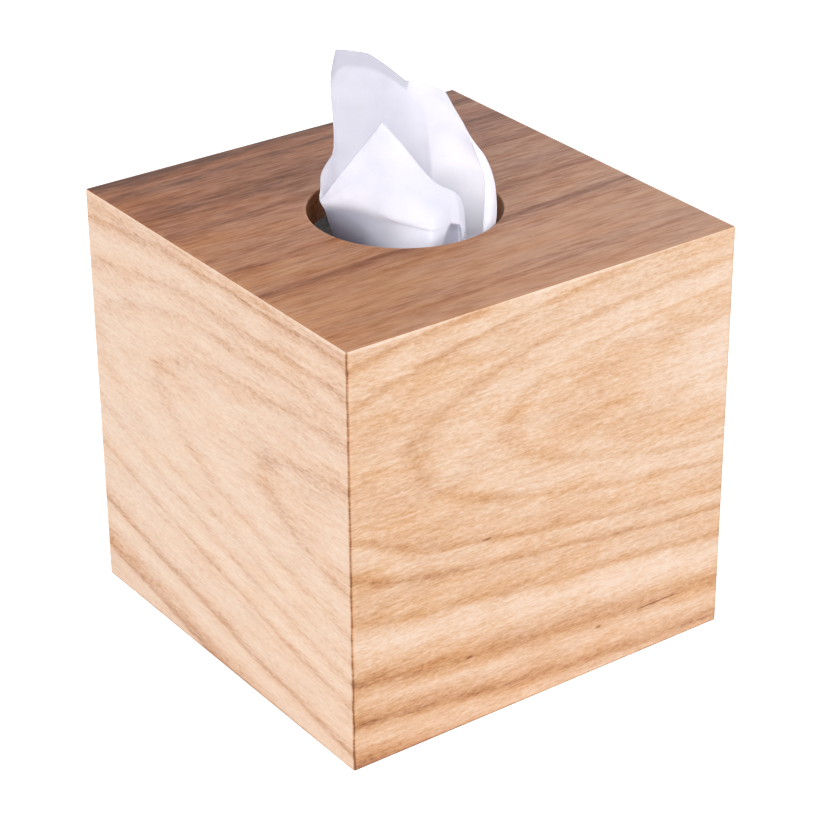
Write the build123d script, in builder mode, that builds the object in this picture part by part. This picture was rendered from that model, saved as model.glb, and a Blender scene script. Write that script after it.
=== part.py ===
from build123d import *
import os

# A cube tissue box: five mitred boards glued into a cover with an open bottom, which stands over a
# folded card carton. The carton holds a bent stack of tissues, and one tissue is drawn up through
# the round hole in the cover's top. Lengths are in millimetres, +Z is up, and the origin lies at the
# middle of the footprint, on the surface that the box stands on. The front is the -Y side.

# Carton of a cube pack
carton_width = 110.0
carton_height = 122.0
card_thickness = 0.6
card_fold_radius = 1.2
carton_opening_margin = 8.3
seam_flap_width = 14.0
base_flap_inset = 2.5
base_flap_gap = 0.8

# Wooden cover
side_clearance = 5.0
top_clearance = 4.5
board_thickness = 10.0
hole_diameter = 59.4
arris_radius = 0.6
rim_radius = 0.5

# Stack of interleaved tissues, bent double over the middle of the carton
stack_clearance = 0.4
stack_headroom = 10.4
stack_bend_radius = 2.5

# Drawn tissue
tissue_thickness = 0.5
tissue_clearance = 0.3
tissue_turn = -35.5
tissue_tuck = 4.5
leaf_setback_share = 0.12
roll_start_share = 0.62

# Sizes that follow from those above
cavity_width = carton_width + 2 * side_clearance
cavity_height = carton_height + top_clearance
cover_width = cavity_width + 2 * board_thickness
cover_height = cavity_height + board_thickness
hole_radius = hole_diameter / 2
carton_opening_radius = hole_radius + carton_opening_margin
carton_inside = carton_width - 2 * card_thickness
carton_floor = 2 * card_thickness
carton_headroom = carton_height - card_thickness - carton_floor
stack_width = carton_inside - 2 * (card_thickness + stack_clearance)
stack_height = carton_height - card_thickness - stack_headroom
stack_arch_radius = stack_width / 2
stack_spring = stack_height - stack_arch_radius
tissue_wall_radius = hole_radius - tissue_clearance - tissue_thickness / 2
tissue_foot = stack_height - tissue_tuck - cover_height
leaf_setback = leaf_setback_share * hole_radius
roll_start = roll_start_share * hole_radius

# Plan of the drawn tissue at levels above the cover's top. The bearings run round the hole's axis
# from the free edge of the front flap, by the left and the back, to the right-hand edge. At each of
# them a level gives the share of the way from that axis to the hole's wall at which the sheet stands.
tissue_bearings = (
    -48, -72, -98, -124, -150, -168, -182, -196, -215, -243, -270, -294, -318, -342, -366, -393
)
tissue_plan = {
    tissue_foot: (
        0.55, 0.55, 0.50, 0.46, 0.46, 0.48, 0.50, 0.50, 0.48, 0.45, 0.43, 0.45, 0.48, 0.50, 0.52, 0.55
    ),
    -board_thickness: (
        0.88, 0.86, 0.54, 0.41, 0.46, 0.62, 0.78, 0.74, 0.59, 0.46, 0.44, 0.52, 0.58, 0.74, 0.91, 0.95
    ),
    0.0: (
        0.94, 0.92, 0.60, 0.47, 0.51, 0.68, 0.87, 0.80, 0.62, 0.47, 0.47, 0.58, 0.60, 0.78, 0.95, 0.99
    ),
    6.0: (
        0.82, 0.74, 0.59, 0.53, 0.58, 0.75, 0.88, 0.82, 0.62, 0.47, 0.48, 0.58, 0.59, 0.77, 0.94, 0.97
    ),
    13.0: (
        0.73, 0.58, 0.49, 0.49, 0.56, 0.73, 0.86, 0.81, 0.62, 0.47, 0.48, 0.57, 0.58, 0.74, 0.88, 0.89
    ),
    20.0: (
        0.68, 0.48, 0.43, 0.45, 0.55, 0.70, 0.82, 0.79, 0.61, 0.47, 0.48, 0.54, 0.59, 0.71, 0.78, 0.80
    ),
    50.0: (
        0.50, 0.32, 0.26, 0.28, 0.41, 0.56, 0.70, 0.75, 0.58, 0.45, 0.47, 0.53, 0.58, 0.60, 0.62, 0.64
    ),
}

# Free edges of the tissue. Those of the front flap and of the back leaf are seen square to its front,
# from right to left: the share of the hole's radius to the right of its axis, then the height above
# the cover's top. That of the roll on the right is seen from its side, with the share away from the axis.
front_edge = (
    (0.66, 17.0),
    (0.56, 9.6),
    (0.29, 13.5),
    (-0.21, 30.6),
    (-0.79, 6.3),
    (-0.95, 0.8),
)
back_edge = (
    (0.76, 17.0),
    (0.63, 21.6),
    (0.42, 31.8),
    (0.02, 35.0),
    (-0.36, 45.2),
    (-0.67, 47.5),
    (-0.74, 38.0),
    (-0.72, 14.7),
    (-0.84, 9.7),
    (-0.95, 3.0),
)
roll_edge = (
    (0.38, 26.3),
    (0.30, 21.6),
    (0.12, 17.0),
    (-0.15, 15.0),
    (-0.29, 12.0),
    (-0.40, 6.8),
    (-0.55, -1.0),
)

os.makedirs("parts", exist_ok=True)

# Cover as glued up, with its outer arrises and the lip of the hole eased
with BuildPart() as cover:
    Box(cover_width, cover_width, cover_height, align=(Align.CENTER, Align.CENTER, Align.MIN))
    upright_arrises = edges().filter_by(Axis.Z)
    top_arrises = edges().group_by(Axis.Z)[-1]
    fillet(upright_arrises + top_arrises, radius=arris_radius)
    with BuildSketch():
        Rectangle(cavity_width, cavity_width)
    extrude(amount=cavity_height, mode=Mode.SUBTRACT)
    with Locations((0, 0, cover_height)):
        Hole(hole_radius)
    hole_edges = edges().filter_by(GeomType.CIRCLE).group_by(SortBy.RADIUS)[-1]
    fillet(hole_edges.sort_by(Axis.Z)[-1], radius=rim_radius)

# Mitre planes of the front board, each with its normal towards that board. The other side boards
# have the same planes turned about the cover's axis.
end_mitres = (
    Plane(origin=(0, 0, 0), z_dir=(1, -1, 0)),
    Plane(origin=(0, 0, 0), z_dir=(-1, -1, 0)),
)
top_mitre = Plane(origin=(0, -cover_width / 2, cover_height), z_dir=(0, -1, -1))
board_turns = {"front_board": 0, "right_board": 90, "back_board": 180, "left_board": 270}

for name, turn in board_turns.items():
    with BuildPart() as side_board:
        add(cover.part)
        for mitre in (*end_mitres, top_mitre):
            split(bisect_by=Plane(Rot(0, 0, turn) * mitre.location), keep=Keep.TOP)
    side_board.part.label = name
    export_step(side_board.part, f"parts/{name}.step")

with BuildPart() as top_board:
    add(cover.part)
    for turn in board_turns.values():
        split(bisect_by=Plane(Rot(0, 0, turn) * top_mitre.location), keep=Keep.BOTTOM)
top_board.part.label = "top_board"
export_step(top_board.part, "parts/top_board.step")

# Carton folded from one blank: rounded folds, a glued seam flap inside its back wall, a two-layer
# base whose outer flap leaves a fine groove on its three free sides, and a round opening on top
with BuildPart() as carton:
    Box(carton_width, carton_width, carton_height, align=(Align.CENTER, Align.CENTER, Align.MIN))
    fillet(edges(), radius=card_fold_radius)
    with BuildSketch(Plane.XY.offset(carton_floor)):
        RectangleRounded(carton_inside, carton_inside, card_fold_radius - card_thickness)
    extrude(amount=carton_headroom, mode=Mode.SUBTRACT)
    with Locations((-carton_inside / 2, carton_inside / 2, carton_floor)):
        Box(
            seam_flap_width,
            card_thickness,
            carton_headroom,
            align=(Align.MIN, Align.MAX, Align.MIN),
        )
    with Locations((0, 0, carton_height)):
        Hole(carton_opening_radius, depth=2 * card_thickness)
    with BuildSketch():
        base_flap_width = carton_width - 2 * base_flap_inset
        Rectangle(base_flap_width, base_flap_width)
        with Locations((0, -base_flap_gap)):
            Rectangle(
                base_flap_width - 2 * base_flap_gap,
                base_flap_width,
                mode=Mode.SUBTRACT,
            )
    extrude(amount=card_thickness, mode=Mode.SUBTRACT)
carton.part.label = "carton"
export_step(carton.part, "parts/carton.step")

# Stack bent over its middle into an arch, with a narrow slot where its two halves hang side by side
with BuildPart() as tissue_stack:
    with BuildSketch(Plane.YZ):
        with BuildLine():
            Polyline(
                (-stack_arch_radius, stack_spring),
                (-stack_arch_radius, carton_floor),
                (stack_arch_radius, carton_floor),
                (stack_arch_radius, stack_spring),
            )
            CenterArc((0, stack_spring), stack_arch_radius, 0, 180)
        make_face()
        with Locations((0, stack_spring)):
            Circle(stack_bend_radius, mode=Mode.SUBTRACT)
            Rectangle(
                2 * stack_bend_radius,
                stack_spring - carton_floor,
                align=(Align.CENTER, Align.MAX),
                mode=Mode.SUBTRACT,
            )
    extrude(amount=stack_width / 2, both=True)
tissue_stack.part.label = "tissue_stack"
export_step(tissue_stack.part, "parts/tissue_stack.step")


def sheet_line(reaches, stand_off):
    """Points of the drawn tissue's plan at one level, moved out from its middle by stand_off."""
    return [
        Vector(tissue_wall_radius * reach + stand_off, 0).rotate(Axis.Z, bearing + tissue_turn)
        for bearing, reach in zip(tissue_bearings, reaches)
    ]


# Upright planes square to the tissue's front and to its right-hand side: the back leaf's left-hand
# edge stands on the first, and the roll lies beyond the second
tissue_front = Plane(
    origin=Vector(0, leaf_setback, cover_height).rotate(Axis.Z, tissue_turn),
    x_dir=Vector(1, 0, 0).rotate(Axis.Z, tissue_turn),
    z_dir=Vector(0, -1, 0).rotate(Axis.Z, tissue_turn),
)
tissue_side = Plane(
    origin=Vector(roll_start, 0, cover_height).rotate(Axis.Z, tissue_turn),
    x_dir=Vector(0, 1, 0).rotate(Axis.Z, tissue_turn),
    z_dir=Vector(1, 0, 0).rotate(Axis.Z, tissue_turn),
)
tissue_cuts = (
    (tissue_front, front_edge, 2 * hole_radius),
    (tissue_front, back_edge, -2 * hole_radius),
    (tissue_side, roll_edge, hole_radius),
)


def trim_outline(edge):
    """Outline of what lies above a free edge of the tissue, out past its sides and its top."""
    side = 2 * hole_radius
    top = 2 * max(tissue_plan)
    (first_share, first_height), (last_share, last_height) = edge[0], edge[-1]
    first_side = side if first_share > last_share else -side
    corners = [
        (-first_side, last_height),
        (-first_side, top),
        (first_side, top),
        (first_side, first_height),
    ]
    return [(share * hole_radius, height) for share, height in edge] + corners


# Drawn tissue: one sheet gathered on the stack, leaning on the right of the hole's wall and standing
# up in folds above it, then trimmed to the free edges of its front flap and its back leaf
with BuildPart() as drawn_tissue:
    for level, reaches in tissue_plan.items():
        with BuildSketch(Plane.XY.offset(cover_height + level)):
            with BuildLine():
                outside = Spline(*sheet_line(reaches, tissue_thickness / 2))
                inside = Spline(*sheet_line(reaches, -tissue_thickness / 2))
                Line(outside @ 0, inside @ 0)
                Line(outside @ 1, inside @ 1)
            make_face()
    loft(ruled=True)
    with Locations((0, 0, stack_spring)):
        Cylinder(
            stack_arch_radius + tissue_clearance,
            stack_width,
            rotation=(0, 90, 0),
            mode=Mode.SUBTRACT,
        )
    for plane, edge, reach in tissue_cuts:
        with BuildSketch(plane):
            Polygon(*trim_outline(edge), align=None)
        extrude(amount=reach, mode=Mode.SUBTRACT)
drawn_tissue.part.label = "drawn_tissue"
export_step(drawn_tissue.part, "parts/drawn_tissue.step")
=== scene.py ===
import math

import bmesh
import bpy
from mathutils import Matrix, Vector


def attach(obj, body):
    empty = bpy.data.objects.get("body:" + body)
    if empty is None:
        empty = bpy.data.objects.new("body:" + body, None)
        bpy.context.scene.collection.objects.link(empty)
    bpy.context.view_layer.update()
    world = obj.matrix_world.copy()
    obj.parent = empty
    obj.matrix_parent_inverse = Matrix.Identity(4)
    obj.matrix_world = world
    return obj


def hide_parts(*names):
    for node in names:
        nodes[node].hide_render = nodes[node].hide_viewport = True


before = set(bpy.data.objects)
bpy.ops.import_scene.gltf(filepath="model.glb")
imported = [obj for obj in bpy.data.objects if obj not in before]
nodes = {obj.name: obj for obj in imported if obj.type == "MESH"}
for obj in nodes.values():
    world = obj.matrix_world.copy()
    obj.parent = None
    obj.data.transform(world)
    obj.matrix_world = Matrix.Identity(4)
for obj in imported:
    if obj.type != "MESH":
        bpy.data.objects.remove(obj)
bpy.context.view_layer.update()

# TISSUE STACK
# About eighty interleaved two-ply tissues, bent double over the carton's middle into one soft arch.
# Their folded layers show as fine lines that follow the bend; nothing fixes them to the carton.
paper_white = (0.87, 0.87, 0.90, 1.0)
paper_shade = (0.70, 0.71, 0.77, 1.0)
bend_axis_height = 0.0576
layer_spacing = 0.0011
layer_ripple = 2.5
line_share, cloud_share = 0.6, 0.4


def put(tree, kind, feeds=None, **settings):
    """A shader node with its settings, and its sockets fed by values or by other nodes' outputs."""
    node = tree.nodes.new(kind)
    for name, value in settings.items():
        setattr(node, name, value)
    for socket, source in (feeds or {}).items():
        if isinstance(source, bpy.types.NodeSocket):
            tree.links.new(source, node.inputs[socket])
        else:
            node.inputs[socket].default_value = source
    return node


def math_of(tree, operation, first, second=0.0):
    """The output of one Math node."""
    return put(tree, "ShaderNodeMath", {0: first, 1: second}, operation=operation).outputs[0]


def plus_of(tree, base, mark, weight):
    """A value with a mark added to it at some weight."""
    return math_of(tree, "ADD", base, math_of(tree, "MULTIPLY", mark, weight))


def reach_of(tree, first, second):
    """The distance that two distances at a right angle make."""
    squares = [math_of(tree, "POWER", side, 2.0) for side in (first, second)]
    return math_of(tree, "SQRT", math_of(tree, "ADD", *squares))


def ramp_of(tree, value, stops):
    """The output of a Color Ramp whose stops are (place, colour or grey)."""
    ramp = put(tree, "ShaderNodeValToRGB", {"Fac": value})
    bands = ramp.color_ramp
    while len(bands.elements) < len(stops):
        bands.elements.new(0.5)
    for element, (place, tone) in zip(bands.elements, stops):
        element.position = place
        element.color = tone if isinstance(tone, tuple) else (tone, tone, tone, 1.0)
    return ramp.outputs["Color"]


def new_group(name, inputs, outputs):
    """An empty shader node group with (name, socket kind, value) inputs and (name, kind) outputs."""
    group = bpy.data.node_groups.new(name, "ShaderNodeTree")
    for label, kind, value in inputs:
        socket = group.interface.new_socket(label, in_out="INPUT", socket_type=kind)
        if value is not None:
            socket.default_value = value
    for label, kind in outputs:
        group.interface.new_socket(label, in_out="OUTPUT", socket_type=kind)
    return group, group.nodes.new("NodeGroupInput").outputs, group.nodes.new("NodeGroupOutput").inputs


def new_finish(name, roughness, specular):
    """A material with one Principled shader, ready for its colour and its relief."""
    finish = bpy.data.materials.new(name)
    finish.use_nodes = True
    shader = finish.node_tree.nodes["Principled BSDF"]
    shader.inputs["Roughness"].default_value = roughness
    shader.inputs["Specular IOR Level"].default_value = specular
    return finish, finish.node_tree, shader


def coat_node(name, finish):
    """Puts a finish on a CAD node."""
    slots = nodes[name].data.materials
    slots.clear()
    slots.append(finish)


# Crepe of tissue paper: soft cloudy shade, fine cross wrinkles and a little fluff
crepe, crepe_in, crepe_out = new_group(
    "crepe_paper",
    [("Paper Point", "NodeSocketVector", None), ("Wrinkle Spacing", "NodeSocketFloat", 0.0008)],
    [("Cloud", "NodeSocketFloat"), ("Relief", "NodeSocketFloat")],
)
wrinkle_scale = math_of(crepe, "DIVIDE", 1.0, crepe_in["Wrinkle Spacing"])
crepe_lines = put(
    crepe,
    "ShaderNodeTexNoise",
    {"Vector": crepe_in["Paper Point"], "Scale": wrinkle_scale, "Detail": 3.0, "Roughness": 0.6},
)
crepe_cloud = put(
    crepe,
    "ShaderNodeTexNoise",
    {"Vector": crepe_in["Paper Point"], "Scale": 90.0, "Detail": 4.0, "Roughness": 0.55},
)
crepe.links.new(crepe_cloud.outputs["Fac"], crepe_out["Cloud"])
crepe.links.new(crepe_lines.outputs["Fac"], crepe_out["Relief"])

stack_paper, tree, shader = new_finish("stacked_tissue", roughness=0.95, specular=0.1)
place = put(tree, "ShaderNodeTexCoord").outputs["Object"]
axes = put(tree, "ShaderNodeSeparateXYZ", {0: place}).outputs
rise = math_of(tree, "MAXIMUM", math_of(tree, "SUBTRACT", axes["Z"], bend_axis_height), 0.0)
bend_radius = reach_of(tree, rise, axes["Y"])
ripple = put(tree, "ShaderNodeTexNoise", {"Vector": place, "Scale": 60.0, "Detail": 2.0}).outputs["Fac"]
layer_count = math_of(tree, "DIVIDE", bend_radius, layer_spacing)
layer = math_of(tree, "FRACT", plus_of(tree, layer_count, ripple, layer_ripple))
fluff = put(tree, "ShaderNodeGroup", {"Paper Point": place}, node_tree=crepe)
layer_line = ramp_of(tree, layer, [(0.0, 1.0), (0.12, 0.25), (0.3, 0.0), (0.85, 0.0), (1.0, 1.0)])
lined = math_of(tree, "MULTIPLY", layer_line, line_share)
shade = plus_of(tree, lined, fluff.outputs["Cloud"], cloud_share)
tree.links.new(
    ramp_of(tree, shade, [(0.0, paper_white), (1.0, paper_shade)]), shader.inputs["Base Color"]
)
relief = math_of(tree, "SUBTRACT", fluff.outputs["Relief"], layer_line)
bump = put(tree, "ShaderNodeBump", {"Height": relief, "Strength": 0.35, "Distance": 0.0004})
tree.links.new(bump.outputs["Normal"], shader.inputs["Normal"])
coat_node("tissue_stack", stack_paper)

# CARTON
# Cube carton folded from one blank of white-lined board, with a glued seam and a glued base.
# Plain and unprinted: matt and faintly fibrous, faces and cut edges alike.
card_face = (0.80, 0.79, 0.76, 1.0)
card_fibre = (0.66, 0.63, 0.58, 1.0)
pulp_share, mottle_share = 0.7, 0.3

carton_card, tree, shader = new_finish("carton_board", roughness=0.72, specular=0.3)
place = put(tree, "ShaderNodeTexCoord").outputs["Object"]
pulp = put(
    tree, "ShaderNodeTexNoise", {"Vector": place, "Scale": 700.0, "Detail": 5.0, "Roughness": 0.65}
).outputs["Fac"]
mottle = put(tree, "ShaderNodeTexNoise", {"Vector": place, "Scale": 45.0, "Detail": 3.0}).outputs["Fac"]
fibres = plus_of(tree, math_of(tree, "MULTIPLY", pulp, pulp_share), mottle, mottle_share)
tree.links.new(
    ramp_of(tree, fibres, [(0.35, card_fibre), (0.55, card_face)]), shader.inputs["Base Color"]
)
bump = put(tree, "ShaderNodeBump", {"Height": pulp, "Strength": 0.15, "Distance": 0.0002})
tree.links.new(bump.outputs["Normal"], shader.inputs["Normal"])
coat_node("carton", carton_card)

# SIDE BOARDS
# Four 10 mm boards of a pale flat-sawn wood, mitred on three edges and glued up with the top board.
# Cathedral figure runs along each board; the sanded faces have a thin satin oil on them.

# Figure of flat-sawn wood: the distance from the tree's heart, whose rings the board's face cuts
# across, with streaks, fine fibres and open pores drawn out along the grain. Lengths are in mm.
metre_in_mm = 1000.0
fine_wander_mm = 1.8
noise_middle = 0.5
figure, figure_in, figure_out = new_group(
    "sawn_figure",
    [
        ("Board Point", "NodeSocketVector", None),
        ("Heart Across", "NodeSocketFloat", 90.0),
        ("Heart Depth", "NodeSocketFloat", 27.0),
        ("Lean", "NodeSocketFloat", 0.0),
        ("Taper", "NodeSocketFloat", 0.2),
        ("Wander", "NodeSocketFloat", 5.0),
    ],
    [
        ("Ring", "NodeSocketFloat"),
        ("Streak", "NodeSocketFloat"),
        ("Fibre", "NodeSocketFloat"),
        ("Mottle", "NodeSocketFloat"),
        ("Pore", "NodeSocketFloat"),
        ("Blush", "NodeSocketFloat"),
    ],
)
board_mm = put(
    figure,
    "ShaderNodeVectorMath",
    {0: figure_in["Board Point"], "Scale": metre_in_mm},
    operation="SCALE",
).outputs["Vector"]
grain = put(figure, "ShaderNodeSeparateXYZ", {0: board_mm}).outputs


def grain_noise(along, across, detail, roughness=0.55):
    """Noise in a board's own directions, with so many cycles to the millimetre along and across."""
    drawn = put(
        figure, "ShaderNodeVectorMath", {0: board_mm, 1: (along, across, across)}, operation="MULTIPLY"
    ).outputs["Vector"]
    return put(
        figure,
        "ShaderNodeTexNoise",
        {"Vector": drawn, "Scale": 1.0, "Detail": detail, "Roughness": roughness},
    ).outputs["Fac"]


heart_line = plus_of(figure, figure_in["Heart Across"], figure_in["Lean"], grain["X"])
off_heart = math_of(figure, "SUBTRACT", grain["Y"], heart_line)
rise_of_heart = math_of(figure, "MULTIPLY", figure_in["Taper"], grain["X"])
below_face = math_of(figure, "SUBTRACT", figure_in["Heart Depth"], rise_of_heart)
radius = reach_of(figure, off_heart, below_face)
broad_wander = math_of(figure, "SUBTRACT", grain_noise(0.014, 0.035, 2.0), noise_middle)
fine_wander = math_of(figure, "SUBTRACT", grain_noise(0.11, 0.55, 3.0), noise_middle)
wander = plus_of(
    figure,
    math_of(figure, "MULTIPLY", broad_wander, figure_in["Wander"]),
    fine_wander,
    fine_wander_mm,
)
figure.links.new(math_of(figure, "ADD", radius, wander), figure_out["Ring"])
grain_marks = {
    "Streak": (0.09, 0.8, 4.0, 0.6),
    "Fibre": (0.38, 1.5, 4.0, 0.75),
    "Mottle": (0.07, 0.28, 4.0, 0.65),
    "Blush": (0.03, 0.12, 3.0, 0.6),
}
for mark, drawn_out in grain_marks.items():
    figure.links.new(grain_noise(*drawn_out), figure_out[mark])
pore_noise = grain_noise(0.5, 3.2, 2.0, 0.5)
pores = put(figure, "ShaderNodeMapRange", {"Value": pore_noise, "From Min": 0.66, "From Max": 0.76})
figure.links.new(pores.outputs["Result"], figure_out["Pore"])

# Arrises of the glued cover: the hairline of glue down each upright one, a finer painted shadow line along
# the bottom, and a paler crest of painted highlight where those round the top and the lip of the hole are
# eased with sandpaper
cover_half, cover_top, bore_radius = 0.07, 0.1365, 0.0297
seam_and_foot_shadow_reach, highlight_reach, edge_core = 0.00075, 0.0013, 0.0002
foot_shadow_narrowing = 1.6
arris, arris_in, arris_out = new_group(
    "glued_arris",
    [("Point", "NodeSocketVector", None)],
    [("Seam", "NodeSocketFloat"), ("Painted Highlight", "NodeSocketFloat")],
)
sides = put(arris, "ShaderNodeSeparateXYZ", {0: arris_in["Point"]}).outputs
from_side = math_of(arris, "SUBTRACT", cover_half, math_of(arris, "ABSOLUTE", sides["X"]))
from_face = math_of(arris, "SUBTRACT", cover_half, math_of(arris, "ABSOLUTE", sides["Y"]))
from_top = math_of(arris, "SUBTRACT", cover_top, sides["Z"])
# A painted shadow line along the bottom edge of the sides, where the box stands on the floor
off_foot_shadow = math_of(arris, "MULTIPLY", sides["Z"], foot_shadow_narrowing)
off_seam_and_foot_shadow = math_of(arris, "MINIMUM", math_of(arris, "MAXIMUM", from_side, from_face), off_foot_shadow)
from_axis = reach_of(arris, sides["X"], sides["Y"])
from_bore = math_of(arris, "SUBTRACT", from_axis, bore_radius)
nearest_edge = math_of(arris, "MINIMUM", math_of(arris, "MINIMUM", from_side, from_face), from_bore)
# A painted highlight along the eased arrises of the top and the lip of the hole
off_painted_highlight = math_of(arris, "MAXIMUM", nearest_edge, from_top)
for off, reach, label in ((off_seam_and_foot_shadow, seam_and_foot_shadow_reach, "Seam"), (off_painted_highlight, highlight_reach, "Painted Highlight")):
    mask = put(arris, "ShaderNodeMapRange", {"Value": off, "From Min": reach, "From Max": edge_core})
    arris.links.new(mask.outputs["Result"], arris_out[label])

# The radius in mm and the tone at the far ends of their ramps, how much each mark adds to the tone, a
# fleck's edge and middle in its own half sizes, and the spans of saturation and roughness
ring_reach = 150.0
tone_reach = 1.4
pore_tone, highlight_tone, fleck_tone = 0.15, -0.3, 0.55
fleck_rim, fleck_core = 1.1, 0.5
blush_span, polish_span = (0.93, 1.07), (0.42, 0.56)
fibre_relief = 0.4


def spread_of(tree, noise, low, high):
    """Noise, which keeps between about 0.3 and 0.7, spread out from low to high."""
    feeds = {"Value": noise, "From Min": 0.3, "From Max": 0.7, "To Min": low, "To Max": high}
    return put(tree, "ShaderNodeMapRange", feeds).outputs["Result"]


def wood_finish(
    name,
    order,
    heart,
    rings,
    palette,
    flecks,
    slope,
    seam_and_foot_shadow_tone=0.8,
    texture=(0.7, 1.5, 0.8),
    sheen_greying=0.0,
):
    """Oiled wood: order picks the frame's axes that run along, across and through the board, heart
    is (across, depth, lean, taper) of the rings' middle, rings are (radius, darkness) and flecks
    are (along, across, half length, half width) of dark grain flecks, in millimetres. slope is how
    much darker the board grows to the metre along and across, seam_and_foot_shadow_tone is how dark its
    glue lines and the painted shadow line along its bottom are, and texture is how strongly its streaks,
    fibres and mottled patches show. fade is how much greyer it grows to the metre along, a painted sheen."""
    finish, tree, shader = new_finish(name, roughness=0.5, specular=0.18)
    place = put(tree, "ShaderNodeTexCoord").outputs["Object"]
    axes = put(tree, "ShaderNodeSeparateXYZ", {0: place}).outputs
    board_point = put(
        tree, "ShaderNodeCombineXYZ", {i: axes[axis] for i, axis in enumerate(order)}
    ).outputs[0]
    cut = put(tree, "ShaderNodeGroup", {"Board Point": board_point}, node_tree=figure)
    for socket, value in zip(("Heart Across", "Heart Depth", "Lean", "Taper"), heart):
        cut.inputs[socket].default_value = value
    ring = math_of(tree, "DIVIDE", cut.outputs["Ring"], ring_reach)
    tone = ramp_of(tree, ring, [(r / ring_reach, dark) for r, dark in rings])
    for label, weight in zip(("Streak", "Fibre", "Mottle"), texture):
        unevenness = math_of(tree, "SUBTRACT", cut.outputs[label], noise_middle)
        tone = plus_of(tree, tone, unevenness, weight)
    tone = plus_of(tree, tone, cut.outputs["Pore"], pore_tone)
    for axis, rate in zip(order, slope):
        tone = plus_of(tree, tone, axes[axis], rate)
    edges = put(tree, "ShaderNodeGroup", {"Point": place}, node_tree=arris)
    # Glue lines, with a painted shadow line along the bottom
    tone = plus_of(tree, tone, edges.outputs["Seam"], seam_and_foot_shadow_tone)
    # The painted highlight on the eased arrises
    tone = plus_of(tree, tone, edges.outputs["Painted Highlight"], highlight_tone)
    for along, across, half_length, half_width in flecks:
        offset = put(
            tree,
            "ShaderNodeVectorMath",
            {0: board_point, 1: (-along / metre_in_mm, -across / metre_in_mm, 0.0)},
            operation="ADD",
        ).outputs["Vector"]
        spread = put(
            tree,
            "ShaderNodeVectorMath",
            {0: offset, 1: (metre_in_mm / half_length, metre_in_mm / half_width, 0.0)},
            operation="MULTIPLY",
        ).outputs["Vector"]
        away = put(tree, "ShaderNodeVectorMath", {0: spread}, operation="LENGTH").outputs["Value"]
        fleck = put(
            tree,
            "ShaderNodeMapRange",
            {"Value": away, "From Min": fleck_rim, "From Max": fleck_core, "To Max": fleck_tone},
        ).outputs["Result"]
        tone = math_of(tree, "ADD", tone, fleck)
    tints = [(darkness / tone_reach, tint) for darkness, tint in palette]
    wood_tint = ramp_of(tree, math_of(tree, "DIVIDE", tone, tone_reach), tints)
    blush_less_sheen = spread_of(tree, cut.outputs["Blush"], *blush_span)
    # A painted sheen: the board grows less saturated to the metre along
    blush_less_sheen = math_of(tree, "SUBTRACT", blush_less_sheen, math_of(tree, "MULTIPLY", axes[order[0]], sheen_greying))
    blushed_and_sheened = put(tree, "ShaderNodeHueSaturation", {"Saturation": blush_less_sheen, "Color": wood_tint})
    tree.links.new(blushed_and_sheened.outputs["Color"], shader.inputs["Base Color"])
    polish = spread_of(tree, cut.outputs["Streak"], *polish_span)
    tree.links.new(polish, shader.inputs["Roughness"])
    raised = math_of(tree, "MULTIPLY", cut.outputs["Fibre"], fibre_relief)
    relief = math_of(tree, "SUBTRACT", raised, cut.outputs["Pore"])
    bump = put(tree, "ShaderNodeBump", {"Height": relief, "Strength": 0.2, "Distance": 0.0001})
    tree.links.new(bump.outputs["Normal"], shader.inputs["Normal"])
    return finish


def srgb(red, green, blue):
    """A colour written in everyday 0 to 255 values, as the linear light that a shader takes."""
    parts = [c / 255 for c in (red, green, blue)]
    return tuple(c / 12.92 if c <= 0.04045 else ((c + 0.055) / 1.055) ** 2.4 for c in parts) + (1.0,)


front_rings = (
    (14, 0.40), (18, 0.44), (21, 0.64), (26, 0.67), (28, 0.47), (29.8, 0.73), (31, 0.46), (35, 0.44),
    (37, 0.80), (38.2, 0.53), (42, 0.58), (45, 0.62), (46.2, 0.88), (47.4, 0.50), (49.5, 0.44), (51, 0.56),
    (52.8, 0.96), (54, 0.58), (59, 0.58), (62.5, 0.78), (64, 0.38), (68, 0.16), (72, 0.38), (76, 0.70),
    (79, 0.96), (81.5, 0.64), (84, 0.34), (88, 0.64), (91.5, 1.00), (94, 0.52), (97, 0.30), (103, 0.95),
)
left_rings = (
    (12, 0.30), (16, 0.16), (20.5, 0.34), (22, 0.54), (23, 0.28), (28, 0.15), (32, 0.31), (33.5, 0.49),
    (34.3, 0.27), (38, 0.17), (41.5, 0.42), (42.2, 0.26), (45, 0.22), (48, 0.50), (48.8, 0.27), (53, 0.12),
    (55.5, 0.40), (57, 0.68), (57.8, 0.32), (60, 0.42), (61, 0.27), (66, 0.25), (70, 0.40), (73, 0.85),
    (74, 0.36), (78, 0.18), (83, 0.66), (87.5, 0.98), (88.5, 0.48), (93, 0.40),
)
front_palette = (
    (0.0, srgb(244, 220, 199)),
    (0.35, srgb(235, 199, 167)),
    (0.6, srgb(225, 181, 143)),
    (0.95, srgb(206, 152, 109)),
    (1.4, srgb(142, 90, 58)),
)
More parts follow.
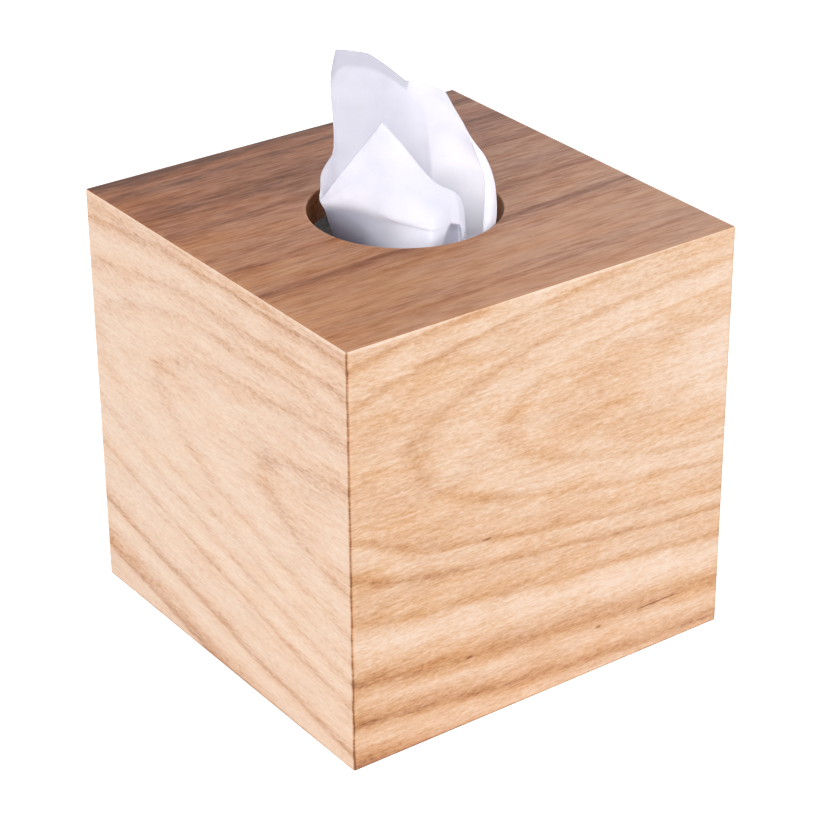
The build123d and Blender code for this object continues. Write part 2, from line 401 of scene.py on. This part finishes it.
# A paler, less saturated board than the front's, with a painted sheen in its paleness
paler_sheened_palette = (
    (0.0, srgb(248, 224, 201)),
    (0.35, srgb(241, 211, 185)),
    (0.6, srgb(234, 198, 169)),
    (0.95, srgb(213, 165, 129)),
    (1.4, srgb(152, 104, 72)),
)
front_flecks = (
    (21.3, 15.4, 1.4, 0.6),
    (44.0, 15.8, 9.5, 0.4),
    (-22.0, 61.5, 2.2, 0.5),
    (-28.0, 23.2, 1.6, 0.5),
)
along_x, along_y = ("X", "Z", "Y"), ("Y", "Z", "X")
side_woods = {
    "front_board": (
        along_x, (94.5, 27.2, -0.029, 0.20), front_rings, front_palette, front_flecks, (-1.1, -1.4)
    ),
    "left_board": (along_y, (82.6, 27.2, 0.089, -0.20), left_rings, paler_sheened_palette, (), (-1.0, 2.0)),
    "back_board": (along_x, (52.0, 24.0, 0.05, -0.22), left_rings, front_palette, (), (0.0, 2.0)),
    "right_board": (along_y, (70.0, 30.0, -0.06, 0.18), front_rings, paler_sheened_palette, (), (0.0, -1.4)),
}
for name, wood in side_woods.items():
    coat_node(name, wood_finish(name + "_wood", *wood))

# TOP BOARD
# One darker, redder board with nearly straight grain, mitred on its four edges into the sides.
# A round hole is bored through its middle for the tissues, and its lip is eased with sandpaper.
top_rings = (
    (0, 0.45), (11, 0.40), (13, 0.74), (14.5, 0.42), (17, 0.56), (20, 0.36), (30, 0.28),
    (38, 0.40), (43, 0.58), (46, 1.08), (48, 0.50), (54, 0.36), (61, 0.46), (64, 0.82),
    (66, 0.48), (74, 0.58), (80, 0.38), (91, 0.46), (95, 0.84), (98, 0.50), (105, 0.66),
    (112, 0.92), (118, 0.60), (124, 0.50), (129, 0.88), (132, 0.54), (138, 1.1),
)
top_palette = (
    (0.0, srgb(185, 137, 103)),
    (0.4, srgb(167, 117, 85)),
    (0.65, srgb(152, 100, 70)),
    (1.0, srgb(127, 78, 50)),
    (1.4, srgb(88, 52, 34)),
)
coat_node(
    "top_board",
    wood_finish(
        "top_board_wood",
        ("X", "Y", "Z"),
        (-70.0, 6.0, 0.03, 0.01),
        top_rings,
        top_palette,
        flecks=(),
        slope=(-0.1, 3.8),
        seam_and_foot_shadow_tone=0.2,
        texture=(1.5, 0.6, 0.6),
        # A painted sheen: the top grows greyer towards its right
        sheen_greying=1.4,
    ),
)

# DRAWN TISSUE
# One two-ply facial tissue pulled up through the hole, its lower half still folded into the stack.
# A loose collar of soft crepe paper: a folded flap in front, a tall leaf behind, a roll at the right.
tissue_turn = math.radians(-35.5)
ply_thickness = 0.00016
stack_top = 0.111
stack_arch = 0.0534

# Each line of the sheet, from the flap's right-hand edge round by the left and the back: its free
# edge, its fold, its waist and where it meets the hole, as (right, away, up) in mm from the hole's
# middle, seen square to the flap.
tissue_lines = (
    ((16.3, -12.5, 8.5), (17.4, -14.0, 5.6), (17.7, -15.5, 1.8), (17.8, -18.5, -2.5)),
    ((14.8, -12.8, 10.1), (15.9, -15.0, 6.7), (16.1, -17.2, 2.0), (17.6, -20.5, -1.8)),
    ((14.4, -12.9, 10.5), (15.4, -15.2, 6.8), (15.6, -17.6, 1.9), (16.7, -16.0, -5.0)),
    ((13.3, -13.1, 11.1), (14.1, -15.6, 7.2), (13.6, -18.2, 2.3), (11.8, -17.0, -5.0)),
    ((12.6, -13.2, 11.5), (13.3, -15.8, 7.6), (13.1, -18.6, 2.7), (10.6, -22.5, -1.6)),
    ((8.7, -13.8, 13.3), (8.7, -17.5, 8.8), (7.7, -23.0, 2.1), (7.5, -25.8, -1.2)),
    ((3.8, -12.8, 19.2), (3.3, -16.5, 12.1), (2.9, -21.0, 2.6), (2.8, -24.2, -2.8)),
    ((-0.9, -10.5, 24.8), (-1.8, -14.0, 15.8), (-2.7, -19.0, 3.5), (-3.2, -18.0, -4.6)),
    ((-6.4, -8.2, 30.6), (-7.4, -11.0, 19.2), (-7.9, -15.3, 4.2), (-8.5, -6.5, -4.4)),
    ((-15.3, -6.0, 18.1), (-14.9, -8.0, 12.9), (-14.5, -10.6, 4.5), (-14.0, 2.0, -3.8)),
    ((-23.4, -3.5, 6.3), (-23.4, -3.8, 5.5), (-22.9, -4.6, 2.9), (-21.0, 6.0, -4.0)),
    ((-26.1, 0.0, 1.1), (-26.0, 0.0, 0.7), (-25.6, 0.2, 0.2), (-24.0, 6.5, -5.0)),
    ((-25.2, 4.0, 4.3), (-24.9, 4.0, 3.1), (-24.4, 4.0, 1.7), (-24.0, 7.6, -5.0)),
    ((-25.5, 5.2, 7.4), (-25.1, 5.0, 5.6), (-24.6, 5.0, 3.2), (-23.4, 8.6, -5.0)),
    ((-24.9, 6.0, 9.7), (-24.4, 6.0, 7.0), (-24.1, 5.8, 3.8), (-22.4, 9.4, -5.0)),
    ((-20.5, 7.6, 15.8), (-21.8, 7.4, 10.3), (-22.3, 7.0, 4.2), (-21.2, 10.0, -5.0)),
    ((-21.0, 8.0, 25.6), (-20.9, 8.2, 17.1), (-20.9, 8.2, 5.6), (-19.8, 10.8, -4.6)),
    ((-22.4, 7.6, 38.1), (-20.7, 8.4, 24.5), (-20.1, 8.6, 6.4), (-19.6, 10.0, -4.0)),
    ((-20.0, 7.2, 47.5), (-19.7, 8.6, 31.0), (-19.2, 9.2, 6.6), (-19.0, 9.2, -3.0)),
    ((-16.0, 8.6, 46.7), (-15.3, 9.8, 30.5), (-15.7, 10.2, 6.7), (-15.6, 10.2, -3.0)),
    ((-10.8, 10.2, 45.2), (-10.5, 11.0, 29.1), (-11.2, 11.2, 6.7), (-11.2, 11.1, -3.0)),
    ((-6.0, 12.0, 41.5), (-6.2, 12.3, 27.6), (-6.4, 12.3, 6.7), (-6.4, 12.0, -3.0)),
    ((0.5, 14.0, 35.0), (-1.1, 13.9, 25.1), (-0.6, 13.5, 7.1), (-0.8, 13.2, -3.0)),
    ((1.6, 14.2, 34.9), (0.4, 14.0, 23.2), (3.0, 10.8, 8.7), (3.0, 9.0, -3.0)),
    ((2.7, 14.6, 34.7), (4.1, 13.6, 21.3), (7.0, 9.4, 9.7), (7.0, 7.4, -3.0)),
    ((3.9, 14.8, 34.5), (6.8, 11.4, 21.2), (8.2, 5.6, 11.2), (8.4, 4.0, -3.0)),
    ((8.0, 14.6, 33.4), (10.1, 10.4, 21.9), (12.8, 4.6, 11.9), (13.0, 3.4, -3.0)),
    ((12.4, 12.8, 31.8), (13.7, 9.6, 22.2), (16.3, 4.4, 11.9), (17.0, 3.4, -3.0)),
    ((15.4, 11.2, 26.3), (17.2, 8.4, 18.8), (19.4, 3.8, 12.0), (20.4, 3.0, -3.0)),
    ((18.7, 8.8, 21.6), (21.1, 6.2, 16.7), (22.4, 2.4, 11.9), (23.4, 1.6, -3.0)),
    ((20.6, 3.6, 17.3), (24.1, 2.4, 16.8), (26.5, 0.4, 11.5), (27.2, 0.5, -3.0)),
    ((22.6, -4.5, 15.0), (25.4, -4.0, 13.3), (27.1, -5.0, 8.1), (27.7, -5.0, -3.0)),
    ((23.9, -8.6, 12.0), (25.8, -8.6, 10.1), (27.1, -9.0, 6.5), (27.2, -9.5, -3.0)),
    ((23.4, -12.0, 6.8), (25.1, -12.3, 5.5), (26.4, -12.8, 3.4), (26.0, -13.2, -4.0)),
    ((23.1, -14.7, 2.3), (23.9, -15.0, 1.5), (24.6, -15.4, 0.7), (24.0, -15.8, -5.0)),
    ((22.8, -16.2, -1.0), (22.9, -16.5, -1.6), (23.0, -16.8, -2.4), (22.4, -17.0, -8.0)),
)
# How see-through the paper of each line looks above its waist, at it, in the hole's mouth and below,
# with painted shade in it: above 1 it darkens towards a painted shade under the flap's fold and deep in
# the hole, and the lowest values lighten the valley behind the flap where shade falls
sheer_and_shade_levels = (
    (0.75, 0.75, 0.75, 0.75), (0.75, 0.75, 0.75, 0.75), (0.7, 0.6, 0.9, 1.0), (0.7, 0.6, 0.9, 1.0),
    (0.75, 0.7, 0.7, 0.7), (0.8, 0.46, 0.55, 0.55), (0.76, 0.32, 0.5, 0.5), (0.68, 0.3, 0.5, 0.8),
    (0.74, 0.36, 0.7, 1.5), (0.62, 0.2, 1.0, 1.9), (0.55, 0.15, 1.4, 2.0), (0.6, 0.7, 1.8, 2.0),
    (0.65, 0.8, 1.4, 2.0), (0.65, 0.8, 1.4, 2.0), (0.7, 0.8, 1.4, 1.8), (0.9, 0.8, 1.3, 1.3),
    (0.95, 0.8, 1.1, 1.1), (1.0, 0.8, 1.0, 1.0), (1.0, 0.8, 1.0, 1.0), (1.0, 0.8, 1.0, 1.0),
    (1.0, 0.8, 1.0, 1.0), (1.0, 0.8, 1.0, 1.0), (0.9, 0.8, 1.0, 1.0), (0.82, 0.78, 0.9, 0.9),
    (0.74, 0.6, 0.6, 0.6), (0.74, 0.3, 0.1, 0.1), (0.76, 0.2, 0.0, 0.0), (0.74, 0.15, 0.0, 0.0),
    (0.7, 0.15, 0.0, 0.0), (0.62, 0.15, 0.0, 0.0), (0.5, 0.15, 0.1, 0.1), (0.5, 0.4, 0.4, 0.4),
    (0.5, 0.5, 0.5, 0.5), (0.5, 0.5, 0.6, 0.6), (0.5, 0.5, 0.7, 0.7), (0.5, 0.5, 0.8, 0.8),
)
throat_share, throat_drop = 0.86, 0.011
foot_share, foot_clearance = 0.56, 0.0006
# By the number of the line: how far down a soft tuck lies, how deep the tuck under the flap and the
# fold along the back leaf go in, how deep the hem is, and how sharply folds and corners are creased
plain_tuck, soft_tucks = 0.3, {8: 0.4, 9: 0.55, 10: 0.5, 11: 0.6}
tuck_depths = {2: 0.0028, 3: 0.0030, 5: 0.0004, 6: 0.0014, 7: 0.0014}
tuck_sharpness = 0.9
back_fold_depths = {25: 0.0005, 26: 0.0011, 27: 0.0014, 28: 0.0011, 29: 0.0006}
back_fold_sharpness = 0.7
plain_hem, hem_limit = 0.005, 0.5
hem_depths = {18: 0.0055, 19: 0.0055, 20: 0.0045, 21: 0.003, 22: 0.0018}
upright_creases = {1: 1.0, 2: 0.8, 3: 0.8, 4: 1.0, 5: 0.4, 15: 0.8, 24: 0.2, 25: 0.9}
corner_lines = {0: 1.0, 8: 1.0, 15: 0.7, 18: 1.0, 20: 0.5, 22: 0.8, 27: 0.5, 35: 1.0}
flap_fold_sharpness = {1: 1.0, 2: 1.0, 3: 1.0, 4: 0.5, 5: 1.0, 6: 1.0, 7: 0.6}
edge_row, hem_row, fold_row, waist_row, tuck_row = range(5)
fold_smoothing = 3


def tissue_point(right, away, up):
    """A place on the tissue, in metres in the shared frame."""
    flat = Vector((right, away, 0.0)) / metre_in_mm
    flat.rotate(Matrix.Rotation(tissue_turn, 3, "Z"))
    return Vector((flat.x, flat.y, cover_top + up / metre_in_mm))


tissue_away = Matrix.Rotation(tissue_turn, 3, "Z") @ Vector((0.0, 1.0, 0.0))
tissue_mesh = bmesh.new()
sheer_and_painted_shade = tissue_mesh.verts.layers.float.new("sheer_and_painted_shade")
hem = tissue_mesh.verts.layers.float.new("hem")
corner = tissue_mesh.verts.layers.float.new("crease_vert")
sheet_lines = []
for number, (spots, sheer_and_shade) in enumerate(zip(tissue_lines, sheer_and_shade_levels)):
    edge, fold, waist, rim = (tissue_point(*spot) for spot in spots)
    hem_share = hem_depths.get(number, plain_hem) / (fold - edge).length
    hem_line = edge.lerp(fold, min(hem_limit, hem_share))
    hem_line += tissue_away * back_fold_depths.get(number, 0.0)
    throat = Vector((rim.x * throat_share, rim.y * throat_share, rim.z - throat_drop))
    foot = Vector((rim.x * foot_share, rim.y * foot_share, 0.0))
    foot.z = stack_top - stack_arch + math.sqrt(stack_arch**2 - foot.y**2) + foot_clearance
    tuck_share = soft_tucks.get(number, plain_tuck)
    free, gathered, mouth, below = sheer_and_shade
    if number in tuck_depths:
        tuck, tucked = waist + tissue_away * tuck_depths[number], mouth
    else:
        tuck, tucked = waist.lerp(rim, tuck_share), gathered + (mouth - gathered) * tuck_share
    line = [tissue_mesh.verts.new(p) for p in (edge, hem_line, fold, waist, tuck, rim, throat, foot)]
    for vertex, level in zip(line, (free, free, free, gathered, tucked, mouth, below, below)):
        vertex[sheer_and_painted_shade] = level
    line[edge_row][hem] = 1.0 if number in hem_depths else 0.0
    line[edge_row][corner] = corner_lines.get(number, 0.0)
    sheet_lines.append(line)
for before, after in zip(sheet_lines, sheet_lines[1:]):
    for k in range(len(before) - 1):
        tissue_mesh.faces.new((before[k], after[k], after[k + 1], before[k + 1]))
crease = tissue_mesh.edges.layers.float.new("crease_edge")


def crease_along(row, number, sharpness):
    """Creases one row of the sheet from a line to the next one."""
    ends = sheet_lines[number][row], sheet_lines[number + 1][row]
    tissue_mesh.edges.get(ends)[crease] = sharpness


for number, sharpness in upright_creases.items():
    line = sheet_lines[number][fold_row:]
    for upper, lower in zip(line, line[1:]):
        tissue_mesh.edges.get((upper, lower))[crease] = sharpness
for number in back_fold_depths:
    if number + 1 in back_fold_depths:
        crease_along(hem_row, number, back_fold_sharpness)
for number in tuck_depths:
    if number + 1 in tuck_depths:
        crease_along(tuck_row, number, tuck_sharpness)
for number, sharpness in flap_fold_sharpness.items():
    crease_along(waist_row, number, sharpness)
tissue_data = bpy.data.meshes.new("drawn_tissue_sheet")
tissue_mesh.to_mesh(tissue_data)
tissue_mesh.free()
tissue = bpy.data.objects.new("drawn_tissue_sheet", tissue_data)
bpy.context.scene.collection.objects.link(tissue)
for polygon in tissue_data.polygons:
    polygon.use_smooth = True
smooth = tissue.modifiers.new("soft_folds", "SUBSURF")
smooth.levels = smooth.render_levels = fold_smoothing
smooth.boundary_smooth = "PRESERVE_CORNERS"
body = tissue.modifiers.new("two_plies", "SOLIDIFY")
body.thickness = ply_thickness
body.offset = 0.0

# The paper's colours: bright, see-through, a dark painted shade for paper under the flap's fold and deep
# in the hole, and the hem's
paper_bright = (0.95, 0.955, 1.0, 1.0)
paper_sheer = (0.585, 0.59, 0.665, 1.0)
paper_painted_shade = (0.17, 0.155, 0.19, 1.0)
paper_hem = (0.40, 0.405, 0.465, 1.0)
cloud_strength, hem_strength = 0.4, 0.6
full_painted_shade_level = 2.0
# The colour sockets of a Mix node, which share their names with its other kinds
first_colour, second_colour, mixed_colour = 6, 7, 2

tissue_paper, tree, shader = new_finish("drawn_tissue_paper", roughness=0.95, specular=0.1)
place = put(tree, "ShaderNodeTexCoord").outputs["Object"]
sheet_crepe = put(tree, "ShaderNodeGroup", {"Paper Point": place}, node_tree=crepe)
sheer_and_shade = put(tree, "ShaderNodeAttribute", attribute_name="sheer_and_painted_shade").outputs["Fac"]
at_hem = put(tree, "ShaderNodeAttribute", attribute_name="hem").outputs["Fac"]
hem_band = ramp_of(tree, at_hem, [(0.05, 0.0), (0.25, 1.0)])
cloud = math_of(tree, "SUBTRACT", sheet_crepe.outputs["Cloud"], noise_middle)
shade_and_cloud = plus_of(tree, sheer_and_shade, cloud, cloud_strength)
# The paper's colour: bright, see-through or the dark painted shade, from the layer that carries both
body_tint = ramp_of(
    tree,
    math_of(tree, "MULTIPLY", shade_and_cloud, 1 / full_painted_shade_level),
    [(0.0, paper_bright), (0.5, paper_sheer), (1.0, paper_painted_shade)],
)
tint = put(tree, "ShaderNodeMix", data_type="RGBA")
tree.links.new(math_of(tree, "MULTIPLY", hem_band, hem_strength), tint.inputs["Factor"])
tree.links.new(body_tint, tint.inputs[first_colour])
tint.inputs[second_colour].default_value = paper_hem
tree.links.new(tint.outputs[mixed_colour], shader.inputs["Base Color"])
shader.subsurface_method = "BURLEY"
shader.inputs["Subsurface Weight"].default_value = 1.0
shader.inputs["Subsurface Radius"].default_value = (1.0, 1.0, 1.0)
shader.inputs["Subsurface Scale"].default_value = 0.002
dents = put(tree, "ShaderNodeTexNoise", {"Vector": place, "Scale": 55.0, "Detail": 1.0}).outputs["Fac"]
dented = put(tree, "ShaderNodeBump", {"Height": dents, "Strength": 0.4, "Distance": 0.003})
bump = put(
    tree,
    "ShaderNodeBump",
    {
        "Height": sheet_crepe.outputs["Relief"],
        "Strength": 0.25,
        "Distance": 0.0002,
        "Normal": dented.outputs["Normal"],
    },
)
tree.links.new(bump.outputs["Normal"], shader.inputs["Normal"])
tissue_data.materials.append(tissue_paper)
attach(tissue, "root")
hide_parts("drawn_tissue")

# FLOOR AND LIGHT
# A plain white studio floor, lit by large soft boxes on the left and in front, weaker ones overhead
# and behind, and by the pale room itself. The floor keeps a soft shadow under the box.
floor_half = 6.0
floor_lift = 0.45
floor_white = (0.93, 0.93, 0.93, 1.0)
room_white = (0.98, 0.98, 1.03, 1.0)
room_glow, room_shown = 0.5, 1.0


def straight_look(tree):
    """1 where the studio itself is seen, straight or in a reflection, and 0 where it only sheds light."""
    seen = put(tree, "ShaderNodeLightPath").outputs
    mirrored = math_of(tree, "ADD", seen["Is Camera Ray"], seen["Is Glossy Ray"])
    return math_of(tree, "ADD", mirrored, seen["Is Transmission Ray"])


floor_data = bpy.data.meshes.new("studio_floor")
floor_corners = [(x * floor_half, y * floor_half, 0) for x, y in ((-1, -1), (1, -1), (1, 1), (-1, 1))]
floor_data.from_pydata(floor_corners, [], [(0, 1, 2, 3)])
floor = bpy.data.objects.new("studio_floor", floor_data)
bpy.context.scene.collection.objects.link(floor)
floor_paint, tree, shader = new_finish("studio_white", roughness=0.9, specular=0.1)
shader.inputs["Base Color"].default_value = floor_white
lift_strength = math_of(tree, "MULTIPLY", straight_look(tree), floor_lift)
lift = put(tree, "ShaderNodeEmission", {"Strength": lift_strength})
both = put(tree, "ShaderNodeAddShader", {0: shader.outputs[0], 1: lift.outputs[0]})
tree.links.new(both.outputs[0], tree.nodes["Material Output"].inputs["Surface"])
floor_data.materials.append(floor_paint)

world = bpy.data.worlds.new("studio_room")
bpy.context.scene.world = world
world.use_nodes = True
tree = world.node_tree
room = tree.nodes["Background"]
room.inputs["Color"].default_value = room_white
shown = put(
    tree,
    "ShaderNodeMapRange",
    {"Value": straight_look(tree), "To Min": room_glow, "To Max": room_shown},
)
tree.links.new(shown.outputs["Result"], room.inputs["Strength"])

for name, spot, aim, size, watts in (
    ("left_softbox", (-1.45, -0.45, 1.25), (0.0, 0.0, 0.08), 1.2, 14.0),
    ("front_softbox", (0.9, -1.4, 1.0), (0.0, 0.0, 0.08), 1.3, 11.5),
    ("top_softbox", (-0.3, -0.6, 1.6), (0.0, 0.0, 0.1), 1.0, 4.5),
    ("back_softbox", (1.0, 1.3, 0.8), (0.0, 0.0, 0.15), 1.0, 3.0),
):
    lamp = bpy.data.lights.new(name, "AREA")
    lamp.shape = "SQUARE"
    lamp.size = size
    lamp.energy = watts
    softbox = bpy.data.objects.new(name, lamp)
    softbox.location = spot
    softbox.rotation_euler = (Vector(aim) - Vector(spot)).to_track_quat("-Z", "Y").to_euler()
    bpy.context.scene.collection.objects.link(softbox)

# CAMERA
# At the photograph's viewing angle: above the near corner, a little to the left of the front.
azimuth, elevation, roll = math.radians(-35.695), math.radians(27.75), math.radians(-0.43)
distance = 0.8604
target = Vector((0.00620, 0.00685, 0.06273))
back = Vector(
    (
        math.sin(azimuth) * math.cos(elevation),
        -math.cos(azimuth) * math.cos(elevation),
        math.sin(elevation),
    )
)
level = Vector((0, 0, 1)).cross(back).normalized()
upright = back.cross(level)
across = level * math.cos(roll) + upright * math.sin(roll)
above = upright * math.cos(roll) - level * math.sin(roll)
lens = bpy.data.cameras.new("photo_view")
lens.lens = 119.55
lens.sensor_width = 36.0
lens.clip_start = 0.01
camera = bpy.data.objects.new("photo_view", lens)
turned = Matrix((across, above, back)).transposed().to_4x4()
camera.matrix_world = Matrix.Translation(target + back * distance) @ turned
bpy.context.scene.collection.objects.link(camera)
bpy.context.scene.camera = camera
bpy.context.scene.view_settings.view_transform = "Standard"
